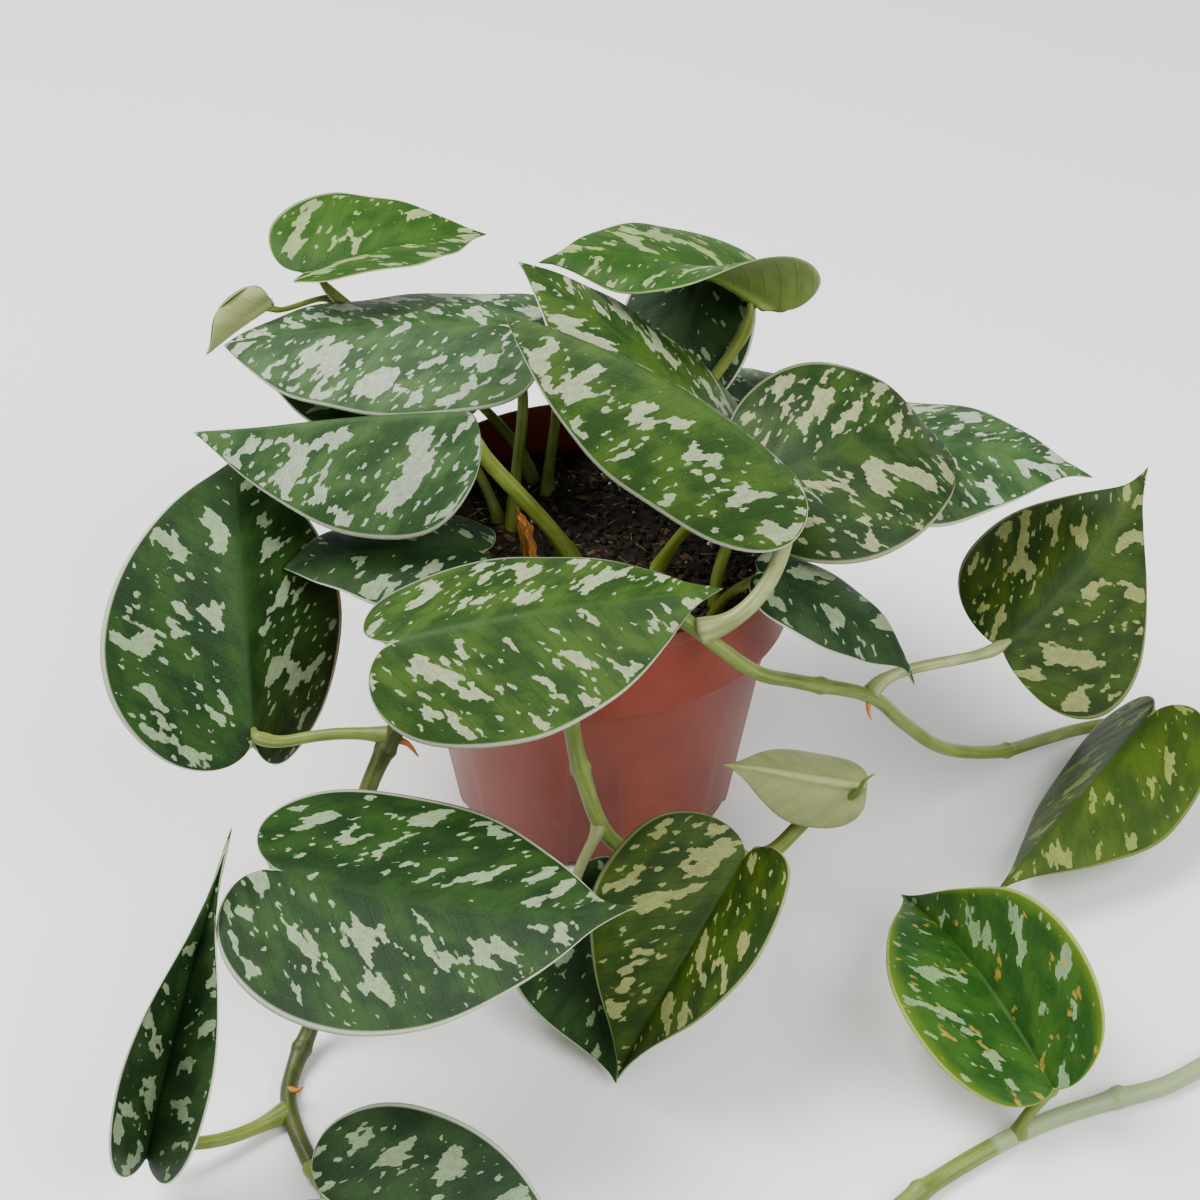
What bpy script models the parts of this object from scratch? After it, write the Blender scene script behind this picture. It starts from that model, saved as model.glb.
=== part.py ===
"""Satin pothos in a nursery pot: pot, soil, trailing vines, leaf stalks and heart-shaped leaf blades.

Metres, +Z up. The origin is the middle of the pot's flat underside, on the surface that the pot
stands on. -Y is the front, where most of the foliage hangs.
"""
import math
from collections import namedtuple

import bmesh
import bpy
import numpy as np
from mathutils import Matrix, Vector

MM = 0.001

# Pot: a thin moulded nursery pot with a straight collar, standing on a ring of feet.
POT_HEIGHT = 0.103
RIM_RADIUS = 0.060
COLLAR_HEIGHT = 0.028
COLLAR_STEP = 0.0045
COLLAR_DRAFT = 0.001
BASE_RADIUS = 0.0435
WALL = 0.0014
FLOOR_THICKNESS = 0.0018
FOOT_HEIGHT = 0.0035
FOOT_GAPS = 6
FOOT_GAP_WIDTH = 0.016
DRAIN_HOLES = 6
DRAIN_RADIUS = 0.0045
DRAIN_CIRCLE = 0.028
MIDDLE_FOOT = 0.018
FOOT_RING = 0.0035
POT_SIDES = 48

COLLAR_BASE = POT_HEIGHT - COLLAR_HEIGHT
BODY_TOP = RIM_RADIUS - COLLAR_DRAFT - COLLAR_STEP
FLOOR_TOP = FOOT_HEIGHT + FLOOR_THICKNESS

# Soil
HEADSPACE = 0.013
SOIL_CROWN = 0.003
SOIL_RINGS = 4

# Gap kept between pieces that touch
CLEARANCE = 0.0003
SOIL_RADIUS = RIM_RADIUS - COLLAR_DRAFT - WALL - 2 * CLEARANCE

# Plant
BLADE_THICKNESS = 0.0008
MARGIN_STEPS = 10
BLADE_STEPS = 2
STALK_ROUNDNESS = 1
STALK_STEPS = 7
STALK_LEAN = 0.6
VINE_RADIUS = 0.0025
VINE_ROUNDNESS = 2
ROUTE_STEPS = 2

# The plant's points are laid out round a pot of this size, and move out and up with its rim.
LAYOUT_RADIUS = 0.060
LAYOUT_HEIGHT = 0.103

# Blade outline in shares of its length (along) and of its width (across), base notch to tip.
NOTCH = 0.02
WIDEST = 0.30
TIP_FULLNESS = 0.62
TIP_POINT = 0.80
FAN = 0.28

Blade = namedtuple(
    "Blade", "name base heading pitch roll length width droop fold unfold cup twist lobe")
Stalk = namedtuple("Stalk", "name root rise arrive radius")
Vine = namedtuple("Vine", "name route")

# Base points in millimetres; heading (0 = +X, 90 = +Y), pitch (up), roll (left side up), droop,
# fold (sides up from the midrib), unfold (what the fold gains towards the tip), cup (sides
# curling up) and twist in degrees; sizes in mm; lobe is how far the two lobes reach back past the
# base, as a share of the length.
BLADES = [
    Blade("blade_top_left", (-82, 54.5, 153), 26, 12, 0, 53, 54, 20, 27, -21, -10, 0, 0.28),
    Blade("blade_young_rolled", (-96, 45, 147), 205, -25, 20, 24, 20, 10, 40, 0, 120, 0, 0.10),
    Blade("blade_silver_left", (-27, 26, 151), 174, -1, -8, 83, 62, 14, -12, 0, -16, 0, 0.26),
    Blade("blade_shaded_left", (-44, 36, 114), 168, 24, -5, 62, 52, 30, -5, 0, -10, 0, 0.20),
    Blade("blade_folded_left", (-35, -13, 147), 187, 3, 5, 74, 68, 10, -58, 0, -8, 0, 0.10),
    Blade("blade_far_left", (-92.5, -72.5, 80.5), 98, 49, 22, 81, 80, 25, -40, 32, 0, 0, 0.17),
    Blade("blade_under_left", (-33.5, -24, 107.5), 186, 13, 1, 54, 46, 30, 0, 0, -20, 0, 0.20),
    Blade("blade_centre_big", (53, -45, 147), 154, 36, -8, 94, 62, 46, -40, 0, -20, 0, 0.20),
    Blade("blade_centre_back", (42, 1, 123), 157, 45, 1, 84, 62, 20, -10, 0, -15, 0, 0.14),
    Blade("blade_top_right", (48.5, 45.5, 147), 173, 37, 38, 70, 58, 50, 40, -70, -10, -50, 0.26),
    Blade("blade_back_shaded", (32, 66.5, 142), 250, -35, -1, 58, 42, 20, 0, 0, -10, 0, 0.20),
    Blade("blade_small_inner", (46, 25, 108), 91, 21, -3, 36, 30, 30, 0, 0, -20, 0, 0.14),
    Blade("blade_right_round", (46.5, -14, 124), 4, 30, 28, 73, 66, 88, 0, 0, -10, 0, 0.12),
    Blade("blade_right_outer", (71.5, 26, 113), -10, 5, 6, 79, 60, 20, -8, 0, -15, 0, 0.20),
    Blade("blade_right_under", (47, -43, 114), -12, -13, 4, 58, 32, 44, -5, 0, -15, 0, 0.10),
    Blade("blade_right_heart", (121, -19, 68.5), 27, 26, 28, 70, 77, 11, -28, 1, -5, 0, 0.06),
    Blade("blade_far_right", (170.5, -10.5, 33), 232, -5, 11, 82, 54, 8, -28, -16, -10, 0, 0.26),
    Blade("blade_low_right", (121.5, -141.5, 18.5), 113, 15, -24, 86, 60, 40, 32, 6, 0, 0, 0.08),
    Blade("blade_front_centre", (-50, -78, 119), 4, 14, 19, 86, 66, 25, -24, 0, -8, 0, 0.20),
    Blade("blade_front_left", (-79, -121.5, 78.5), -14, -9, 5, 94, 79, -22, -6, 0, -6, 0, 0.19),
    Blade("blade_left_edge", (-115, -160, 15.5), 63, 60, 31, 90, 46, -14, 60, 0, 0, 0, 0.10),
    Blade("blade_front_low", (-66, -174, 12), -30, 5, 22, 76, 62, 15, 10, 0, 0, 0, 0.24),
    Blade("blade_front_narrow", (-5, -81, 31), -77, -28, 14, 56, 46, 5, 0, 0, 0, 0, 0.20),
    Blade("blade_front_yellow", (41, -91, 52), 231, -33, 7, 69, 63, 14, 28, 5, -4, 0, 0.15),
    Blade("blade_front_young", (76, -62, 52), 178, 10, 150, 40, 30, 10, 20, 0, 40, 0, 0.10),
    Blade("blade_back_left", (-12, 58, 122), 125, 8, 0, 56, 44, 40, -8, 0, -15, 0, 0.20),
    Blade("blade_back_right", (36.5, 47, 109.5), 42, 11, 0, 72, 56, 80, -8, 0, -15, 0, 0.20),
]

# A stalk starts on the soil (two coordinates) or on a vine or another stalk (three), leaves along
# rise and comes into its blade's base along arrive, both in mm.
STALKS = [
    Stalk("stalk_top_left", (-18, 38), (-7, 14, 27), (-5, -13, 6), 1.7),
    Stalk("stalk_young_rolled", (-79, 62, 138), (-4, -2, 4), (-4, -4, 4), 1.0),
    Stalk("stalk_silver_left", (-24, 12), (-1, 3, 26), (-13, 2, 16), 1.9),
    Stalk("stalk_shaded_left", (-28, 16), (-3, 2, 14), (-6, 2, 10), 1.8),
    Stalk("stalk_folded_left", (-6, -4), (-4, -4, 18), (-8, 0, 16), 2.6),
    Stalk("stalk_far_left", (-54, -76, 84), (-25, 4, 0), (-9, 3, 1), 1.9),
    Stalk("stalk_under_left", (-33, -10), (-3, -3, 17), (1, -9, 11), 1.8),
    Stalk("stalk_centre_big", (28, -60, 107), (20, 0, 4), (-4, 2, 14), 2.6),
    Stalk("stalk_centre_back", (18, -8), (9, -1, 24), (3, 14, 9), 1.9),
    Stalk("stalk_top_right", (27, 15), (-6, 19, 38), (4, 1, 22), 2.0),
    Stalk("stalk_back_shaded", (17, 42), (0, 19, 29), (-1, -7, 8), 1.8),
    Stalk("stalk_small_inner", (46, 13), (3, 5, 12), (6, 2, 6), 1.4),
    Stalk("stalk_right_round", (36, -25), (-4, 1, 16), (5, 0, 11), 2.0),
    Stalk("stalk_right_outer", (36, 4), (9, -3, 18), (8, -1, 4), 1.8),
    Stalk("stalk_right_under", (32, -35), (-1, -1, 8), (7, -7, 6), 1.6),
    Stalk("stalk_right_heart", (79, -42, 69), (6, 11, 5), (9, 7, 3), 1.9),
    Stalk("stalk_far_right", (174, 21, 3), (-3, -3, 6), (-4, -17, 9), 1.9),
    Stalk("stalk_low_right", (114, -145.5, 2.8), (0, 1, 5), (4, 2, 4), 1.9),
    Stalk("stalk_front_centre", (-41, -65, 101), (-4, -3, 5), (-2, -6, 7), 2.2),
    Stalk("stalk_front_left", (-61, -83, 66), (7, -14, 10), (-13, 0, 13), 2.0),
    Stalk("stalk_left_edge", (-82, -137, 3), (-9, -7, 0), (-15, -2, 8), 2.1),
    Stalk("stalk_front_low", (-74, -156, 3), (1, -5, 2), (1, -4, 4), 1.9),
    Stalk("stalk_front_narrow", (2, -71, 46), (-2, -6, -2), (-2, -5, -5), 1.8),
    Stalk("stalk_front_yellow", (48, -65, 28), (-4, -15, 15), (-4, -7, 10), 1.8),
    Stalk("stalk_front_young", (64, -62, 45), (5, 0, 3), (5, 0, 3), 1.4),
    Stalk("stalk_back_left", (-14, 30), (-1, 4, 12), (-4, 5, 10), 1.8),
    Stalk("stalk_back_right", (27, 30), (3, 1, 6), (11, 13, 11), 1.8),
]

# Each vine climbs out of the soil, over the rim and down to the surface, and lies along it.
VINES = [
    Vine("vine_left", [
        (-21, -32, 95), (-29, -45, 107), (-36, -56, 108.5), (-43, -67, 99), (-54, -76, 84),
        (-62, -84, 68), (-67, -92, 49), (-72, -101, 26), (-78, -111, 9), (-82, -121, 3.4),
        (-83, -132, 2.8), (-80, -143, 2.8), (-74, -156, 2.8)]),
    Vine("vine_front", [
        (-14, -30, 96), (-12, -46, 108), (-9, -60, 109.5), (-7, -67.5, 97), (-6, -66, 80),
        (-3, -67, 62), (4, -72, 43), (18, -72, 32), (36, -68, 28), (50, -65, 28), (59, -62, 36),
        (65, -62, 46)]),
    Vine("vine_right", [
        (8, -32, 96), (16, -46, 107), (25, -57, 108.5), (43, -60, 94), (57, -51, 82),
        (79, -42, 69), (91, -37, 54), (105, -30, 38), (125, -16, 24), (143, 2, 13),
        (157, 15, 5.5), (172, 21, 2.8), (188, 17, 2.8), (201, 3, 2.8), (208, -20, 2.8),
        (207, -50, 2.8), (198, -84, 2.8), (181, -111, 2.8), (160, -127, 2.8), (140, -134, 2.8),
        (122, -141, 2.8), (104, -151, 2.8), (84, -165, 2.8), (69, -179, 2.8), (60, -192, 2.8)]),
]
# How far the tip swings to the left of the base's heading, in mm, on the blades that are curved.
SWINGS = {
    "blade_far_left": -7.5, "blade_far_right": -6.0, "blade_front_yellow": -3.5,
    "blade_low_right": 10.0, "blade_right_heart": 18.0, "blade_top_left": -5.5,
}
DRIED_SHEATH = Blade("sheath_dried", (-18, -12, 94), 170, 75, 0, 20, 8, -10, 30, 0, 30, 0, 0.05)


def round_pot(point):
    """A layout point in mm, moved out and up by as much as the pot differs from its layout size."""
    x, y, z = (value * MM for value in point)
    reach = math.hypot(x, y)
    out = (RIM_RADIUS - LAYOUT_RADIUS) * min(reach / LAYOUT_RADIUS, 1.0)
    grow = 1.0 + out / reach if reach > 0.0 else 1.0
    rise = (POT_HEIGHT - LAYOUT_HEIGHT) * min(z / LAYOUT_HEIGHT, 1.0)
    return Vector((x * grow, y * grow, z + rise))


def bezier(points, t):
    """Points at the parameters t on the cubic curve with four control points."""
    a, b, c, d = (np.asarray(p, dtype=float) for p in points)
    t = np.asarray(t)[:, None]
    return (1 - t) ** 3 * a + 3 * (1 - t) ** 2 * t * b + 3 * (1 - t) * t ** 2 * c + t ** 3 * d


def blade_outline(steps, lobe):
    """Half of the heart-shaped margin: (along, across) from the notch to the tip, across up to 0.5."""
    lobe = bezier([(0, 0), (-lobe, NOTCH), (-lobe, 0.5), (WIDEST, 0.5)],
                  np.linspace(0, 1, steps // 2 + 1))
    point = bezier([(WIDEST, 0.5), (TIP_FULLNESS, 0.5), (TIP_POINT, 0.06), (1, 0)],
                   np.linspace(0, 1, steps - steps // 2 + 1))
    return np.vstack([lobe, point[1:]])


def blade_axes(blade):
    """The base's directions: along the midrib, to the left, and out of the upper side."""
    turn = (Matrix.Rotation(math.radians(blade.heading), 3, "Z")
            @ Matrix.Rotation(math.radians(-blade.pitch), 3, "Y")
            @ Matrix.Rotation(math.radians(blade.roll), 3, "X"))
    return [np.array(turn.col[i]) for i in range(3)]


def blade_sheet(blade):
    """Rows of points from margin to margin: the outline laid along an arched midrib, sides bent."""
    ahead, left, above = blade_axes(blade)
    margin = blade_outline(MARGIN_STEPS, blade.lobe)
    length, width = blade.length * MM, blade.width * MM
    share = np.linspace(0, 1, MARGIN_STEPS + 1)
    rib = np.clip((share - FAN) / (1 - FAN), 0, None)
    across = np.linspace(-1, 1, 2 * BLADE_STEPS + 1)
    v = np.abs(across)[None, :]
    along = (rib[:, None] * (1 - v) + margin[:, :1] * v) * length
    side = margin[:, 1:] * across[None, :] * width

    # Midrib: an arc whose slope falls by droop over the blade's length, straight behind the base.
    droop = math.radians(blade.droop) / length
    turned = np.clip(along, 0, None) * droop
    forward = np.sin(turned) / droop + np.clip(along, None, 0)
    down = (1 - np.cos(turned)) / droop

    # Cross-section: each side leaves the midrib at the fold angle and curls by the cup angle.
    half = 0.5 * width
    curl = math.radians(blade.cup) * np.abs(side) / half + 1e-6
    fold = np.radians(blade.fold + blade.unfold * along / length)
    reach = np.abs(side) * (np.sin(fold + curl) - np.sin(fold)) / curl
    lift = np.abs(side) * (np.cos(fold) - np.cos(fold + curl)) / curl
    reach = np.sign(side) * reach

    # Twist grows from base to tip.
    twist = math.radians(blade.twist) * along / length
    shift = reach * np.cos(twist) - lift * np.sin(twist)
    lift = reach * np.sin(twist) + lift * np.cos(twist)
    swing = SWINGS.get(blade.name, 0.0) * MM
    shift = shift + swing * np.clip(along / length, 0, 1) ** 2

    up = lift * np.cos(turned) - down
    forward = forward + lift * np.sin(turned)
    base = np.array(round_pot(blade.base))
    return (base + forward[..., None] * ahead + shift[..., None] * left + up[..., None] * above)


def material(name, colour, roughness):
    """A plain Principled material."""
    made = bpy.data.materials.get(name) or bpy.data.materials.new(name)
    made.use_nodes = True
    shader = made.node_tree.nodes["Principled BSDF"]
    shader.inputs["Base Color"].default_value = (*colour, 1.0)
    shader.inputs["Roughness"].default_value = roughness
    shader.inputs["Metallic"].default_value = 0.0
    return made


def add_object(name, mesh, finish):
    """Links a mesh to the scene as an object with one material."""
    made = bpy.data.objects.new(name, mesh)
    mesh.materials.append(finish)
    bpy.context.scene.collection.objects.link(made)
    return made


def make_blade(blade, finish):
    """A blade: its sheet of faces, thickened on both sides."""
    rows = blade_sheet(blade)
    n, m = rows.shape[:2]
    index = np.arange(n * m).reshape(n, m)
    faces = np.stack([index[:-1, :-1], index[1:, :-1], index[1:, 1:], index[:-1, 1:]], -1)
    mesh = bpy.data.meshes.new(blade.name)
    mesh.from_pydata(rows.reshape(-1, 3).tolist(), [], faces.reshape(-1, 4).tolist())
    shape = bmesh.new()
    shape.from_mesh(mesh)
    bmesh.ops.remove_doubles(shape, verts=shape.verts, dist=1e-5)
    bmesh.ops.triangulate(shape, faces=shape.faces)
    shape.to_mesh(mesh)
    shape.free()
    made = add_object(blade.name, mesh, finish)
    thick = made.modifiers.new("thickness", "SOLIDIFY")
    thick.thickness = BLADE_THICKNESS
    thick.offset = 0.0
    return made


def soil_height(x, y):
    """The soil's surface: a low dome that falls from the middle to the wall."""
    share = min(math.hypot(x, y) / SOIL_RADIUS, 1.0)
    return POT_HEIGHT - HEADSPACE - SOIL_CROWN * share ** 2


def make_tube(name, points, radius, roundness, finish):
    """A round stem along points: a poly curve with a bevel and filled ends."""
    curve = bpy.data.curves.new(name, "CURVE")
    curve.dimensions = "3D"
    curve.bevel_depth = radius
    curve.bevel_resolution = roundness
    curve.use_fill_caps = True
    spline = curve.splines.new("POLY")
    spline.points.add(len(points) - 1)
    for knot, point in zip(spline.points, points):
        knot.co = (*point, 1.0)
    return add_object(name, curve, finish)


def stalk_path(stalk, blade):
    """Points of a leaf stalk: one cubic curve from the soil or vine up to the blade's base."""
    radius = stalk.radius * MM
    rise, arrive = Vector(stalk.rise) * MM, Vector(stalk.arrive) * MM
    if len(stalk.root) == 2:
        start = round_pot((*stalk.root, 0))
        start.z = soil_height(start.x, start.y) + CLEARANCE + radius * STALK_LEAN
    else:
        start = round_pot(stalk.root) + rise.normalized() * (VINE_RADIUS + radius + CLEARANCE)

    # It stops short of the blade, on the side that it comes from, clear of both folded halves.
    above = Vector(blade_axes(blade)[2])
    above = above if above.dot(arrive) > 0 else -above
    gap = (BLADE_THICKNESS / 2 + CLEARANCE + radius) / math.cos(math.radians(blade.fold))
    end = round_pot(blade.base) - above * gap
    return bezier([start, start + rise, end - arrive, end], np.linspace(0, 1, STALK_STEPS + 1))


def smooth_route(points):
    """A smooth curve through the points (Catmull-Rom), with ROUTE_STEPS steps between two points."""
    knots = np.array([2 * np.array(points[0]) - points[1], *points,
                      2 * np.array(points[-1]) - points[-2]])
    t = np.linspace(0, 1, ROUTE_STEPS + 1)[:-1, None]
    pieces = []
    for a, b, c, d in zip(knots, knots[1:], knots[2:], knots[3:]):
        pieces.append(0.5 * (2 * b + (c - a) * t + (2 * a - 5 * b + 4 * c - d) * t ** 2
                             + (3 * b - a - 3 * c + d) * t ** 3))
    return np.vstack([*pieces, knots[-2:-1]])


def vine_path(vine):
    """Points of a trailing stem along its route."""
    return smooth_route([np.array(round_pot(point)) for point in vine.route])


def turned(name, profile, finish):
    """A closed round solid: the profile of (radius, height) points spun about Z."""
    shape = bmesh.new()
    verts = [shape.verts.new((radius, 0.0, height)) for radius, height in profile]
    edges = [shape.edges.new(pair) for pair in zip(verts, verts[1:])]
    bmesh.ops.spin(shape, geom=verts + edges, cent=(0, 0, 0), axis=(0, 0, 1),
                   angle=math.tau, steps=POT_SIDES, use_duplicate=False)
    bmesh.ops.remove_doubles(shape, verts=shape.verts, dist=1e-5)
    bmesh.ops.recalc_face_normals(shape, faces=shape.faces)
    mesh = bpy.data.meshes.new(name)
    shape.to_mesh(mesh)
    shape.free()
    return add_object(name, mesh, finish)


def add_cutter(target, name, location, turn, build):
    """A hidden cutting body made by a bmesh operator, taken out of the target by a Boolean."""
    shape = bmesh.new()
    build(shape)
    mesh = bpy.data.meshes.new(name)
    shape.to_mesh(mesh)
    shape.free()
    cutter = bpy.data.objects.new(name, mesh)
    cutter.location = location
    cutter.rotation_euler = (0.0, 0.0, turn)
    cutter.hide_render = True
    cutter.display_type = "WIRE"
    bpy.context.scene.collection.objects.link(cutter)
    cut = target.modifiers.new(name, "BOOLEAN")
    cut.operation = "DIFFERENCE"
    cut.solver = "EXACT"
    cut.object = cutter


def make_pot(finish):
    """The pot: thin wall, straight collar, a middle foot and an outer ring of feet."""
    pot = turned("pot", [
        (0.0, 0.0), (MIDDLE_FOOT, 0.0), (MIDDLE_FOOT, FOOT_HEIGHT),
        (BASE_RADIUS - FOOT_RING, FOOT_HEIGHT), (BASE_RADIUS - FOOT_RING, 0.0),
        (BASE_RADIUS, 0.0), (BODY_TOP, COLLAR_BASE), (RIM_RADIUS - COLLAR_DRAFT, COLLAR_BASE),
        (RIM_RADIUS, POT_HEIGHT), (RIM_RADIUS - WALL, POT_HEIGHT),
        (RIM_RADIUS - COLLAR_DRAFT - WALL, COLLAR_BASE + WALL),
        (BODY_TOP - WALL, COLLAR_BASE + WALL), (BASE_RADIUS - WALL, FLOOR_TOP),
        (MIDDLE_FOOT - WALL, FLOOR_TOP), (MIDDLE_FOOT - WALL, FLOOR_THICKNESS),
        (0.0, FLOOR_THICKNESS)], finish)
    for number in range(FOOT_GAPS):
        turn = math.tau * (number + 0.5) / FOOT_GAPS
        ring = BASE_RADIUS - FOOT_RING / 2
        add_cutter(pot, f"gap_cutter_{number + 1}",
                   (ring * math.cos(turn), ring * math.sin(turn), 0.0), turn,
                   lambda shape: bmesh.ops.create_cube(shape, size=1.0, matrix=Matrix.Diagonal(
                       (2.5 * FOOT_RING, FOOT_GAP_WIDTH, 1.8 * FOOT_HEIGHT, 1.0))))
    for number in range(DRAIN_HOLES):
        turn = math.tau * number / DRAIN_HOLES
        add_cutter(pot, f"drain_cutter_{number + 1}",
                   (DRAIN_CIRCLE * math.cos(turn), DRAIN_CIRCLE * math.sin(turn), FLOOR_TOP), 0.0,
                   lambda shape: bmesh.ops.create_cone(
                       shape, cap_ends=True, segments=12, radius1=DRAIN_RADIUS,
                       radius2=DRAIN_RADIUS, depth=3 * FLOOR_THICKNESS))
    return pot


def make_soil(finish):
    """The soil: fills the pot up to the headspace, with a slightly domed surface."""
    inner_foot = MIDDLE_FOOT - WALL - CLEARANCE
    dome = [(SOIL_RADIUS * share, soil_height(SOIL_RADIUS * share, 0.0))
            for share in np.linspace(1.0, 0.0, SOIL_RINGS + 1)]
    return turned("soil", [
        (0.0, FLOOR_THICKNESS + CLEARANCE), (inner_foot, FLOOR_THICKNESS + CLEARANCE),
        (inner_foot, FLOOR_TOP + CLEARANCE),
        (BASE_RADIUS - WALL - 2 * CLEARANCE, FLOOR_TOP + CLEARANCE),
        (BODY_TOP - WALL - 2 * CLEARANCE, COLLAR_BASE + WALL + CLEARANCE),
        (SOIL_RADIUS - COLLAR_DRAFT / 2, COLLAR_BASE + WALL + CLEARANCE), *dome], finish)


def main():
    for thing in list(bpy.data.objects):
        bpy.data.objects.remove(thing)
    plastic = material("terracotta_plastic", (0.42, 0.14, 0.09), 0.45)
    earth = material("dark_soil", (0.035, 0.022, 0.016), 0.95)
    leaf_green = material("leaf_green", (0.045, 0.12, 0.03), 0.45)
    stalk_green = material("stalk_green", (0.30, 0.42, 0.10), 0.40)
    vine_green = material("vine_green", (0.20, 0.30, 0.07), 0.45)
    dry_brown = material("dry_brown", (0.45, 0.17, 0.03), 0.70)
    make_pot(plastic)
    make_soil(earth)
    for vine in VINES:
        make_tube(vine.name, vine_path(vine), VINE_RADIUS, VINE_ROUNDNESS, vine_green)
    for blade, stalk in zip(BLADES, STALKS):
        make_blade(blade, leaf_green)
        make_tube(stalk.name, stalk_path(stalk, blade), stalk.radius * MM, STALK_ROUNDNESS,
                  stalk_green)
    make_blade(DRIED_SHEATH, dry_brown)


main()
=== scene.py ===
# %% [markdown]
# # A satin pothos in a nursery pot
# A satin pothos is a creeping vine with thick heart-shaped leaves. Silver splashes lie between the
# leaf's side veins, where air is caught under the skin. This one grows in a thin plastic nursery
# pot, and three of its vines hang over the rim and lie on the surface round it.
#
# The solids in the frame say where everything is. Here each of them gets a finished surface:
# blades with veins, waves and a drip tip, tapering stalks that grow out of their vines, a moulded
# pot and crumbly soil. All lengths in the tables are in millimetres and all angles in degrees.

# %% Load the frame
import math
from collections import namedtuple

import bmesh
import bpy
import numpy as np
from mathutils import Matrix


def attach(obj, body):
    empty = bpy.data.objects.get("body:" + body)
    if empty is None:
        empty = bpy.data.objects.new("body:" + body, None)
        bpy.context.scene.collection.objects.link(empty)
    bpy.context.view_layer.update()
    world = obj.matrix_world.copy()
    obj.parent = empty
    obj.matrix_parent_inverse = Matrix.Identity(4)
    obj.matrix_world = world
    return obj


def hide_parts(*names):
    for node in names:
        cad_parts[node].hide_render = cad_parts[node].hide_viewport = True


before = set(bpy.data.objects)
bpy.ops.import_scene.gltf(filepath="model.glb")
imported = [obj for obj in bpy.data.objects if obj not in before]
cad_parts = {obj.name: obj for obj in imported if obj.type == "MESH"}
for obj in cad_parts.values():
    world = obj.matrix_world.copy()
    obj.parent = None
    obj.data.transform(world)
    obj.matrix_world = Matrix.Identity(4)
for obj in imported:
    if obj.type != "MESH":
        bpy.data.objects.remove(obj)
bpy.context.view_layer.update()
MM = 0.001

# %% [markdown]
# ## Camera
# The camera looks down at the pot from in front, about 38 degrees below the horizon, from some
# seventy centimetres away. A 66 mm lens on a 36 mm sensor gives that close, slightly steep view.

# %% Camera
lens = bpy.data.cameras.new("camera")
lens.lens = 66.0
lens.sensor_width = 36.0
camera = bpy.data.objects.new("camera", lens)
camera.location = (0.002, -0.520, 0.480)
camera.rotation_euler = (math.radians(51.8), 0.0, 0.0)
bpy.context.scene.collection.objects.link(camera)
bpy.context.scene.camera = camera
print("camera at", tuple(round(v, 3) for v in camera.location))

# %% [markdown]
# ## Floor and light
# A houseplant is usually shown on a white table in daylight. A broad pale floor, a large soft
# light high on the left and behind, a weaker one at the right and a pale sky give the leaves
# their satin glow and keep the shadows under them soft.


# %% Floor, lights and sky
def soft_light(name, place, aim, size, power):
    """A square area light at place, turned so that its back (+Z) points away from aim."""
    data = bpy.data.lights.new(name, "AREA")
    data.size = size
    data.energy = power
    lamp = bpy.data.objects.new(name, data)
    lamp.location = place
    back = np.subtract(place, aim)
    tilt = math.atan2(math.hypot(back[0], back[1]), back[2])
    lamp.rotation_euler = (tilt, 0.0, math.atan2(back[1], back[0]) + math.pi / 2)
    bpy.context.scene.collection.objects.link(lamp)
    return lamp


floor_mesh = bpy.data.meshes.new("floor")
floor_mesh.from_pydata([(-6, -6, 0), (6, -6, 0), (6, 6, 0), (-6, 6, 0)], [], [(0, 1, 2, 3)])
floor = bpy.data.objects.new("floor", floor_mesh)
bpy.context.scene.collection.objects.link(floor)
floor_paint = bpy.data.materials.new("floor_pale")
floor_paint.use_nodes = True
floor_paint.node_tree.nodes["Principled BSDF"].inputs["Base Color"].default_value = (
    0.86, 0.86, 0.85, 1.0)
floor_paint.node_tree.nodes["Principled BSDF"].inputs["Roughness"].default_value = 0.6
floor_mesh.materials.append(floor_paint)

soft_light("window_light", (-0.65, 0.1, 1.35), (0.0, -0.02, 0.08), 0.9, 38.0)
soft_light("room_light", (0.75, -0.75, 1.15), (0.02, -0.02, 0.08), 1.0, 26.0)
sky = bpy.data.worlds.new("sky")
bpy.context.scene.world = sky
sky.use_nodes = True
sky.node_tree.nodes["Background"].inputs["Color"].default_value = (0.95, 0.97, 1.0, 1.0)
sky.node_tree.nodes["Background"].inputs["Strength"].default_value = 0.62
print("floor, two soft lights and a pale sky")

# %% [markdown]
# ## Node helpers
# Every finish below is a small tree of shader nodes. A few helpers keep those trees short: they
# make a node and set its inputs, do sums, step or fade a value, read a noise, lay one colour over
# another, and start a material.


# %% Node helpers
def put(tree, kind, inputs=(), **settings):
    """Adds a node of a kind, sets its properties, and fills its inputs: an output is linked and
    anything else is set as the value."""
    made = tree.nodes.new("ShaderNode" + kind)
    for key, value in settings.items():
        setattr(made, key, value)
    for key, value in dict(inputs).items():
        if isinstance(value, bpy.types.NodeSocket):
            tree.links.new(value, made.inputs[key])
        else:
            made.inputs[key].default_value = value
    return made


def math_node(tree, operation, *values):
    """A Math node on up to three values or outputs; gives its output."""
    return put(tree, "Math", {i: v for i, v in enumerate(values)}, operation=operation).outputs[0]


def ramp(tree, value, low, high):
    """0 below low, 1 above high and a smooth step between, clamped."""
    made = put(tree, "MapRange", {0: value, 1: low, 2: high, 3: 0.0, 4: 1.0},
               interpolation_type="SMOOTHSTEP")
    return made.outputs[0]


def times(tree, first, second):
    """The product of two values or outputs."""
    return math_node(tree, "MULTIPLY", first, second)


def ramp_down(tree, value, low, high):
    """1 below low, 0 above high: one minus the ramp."""
    return math_node(tree, "SUBTRACT", 1.0, ramp(tree, value, low, high))


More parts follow.
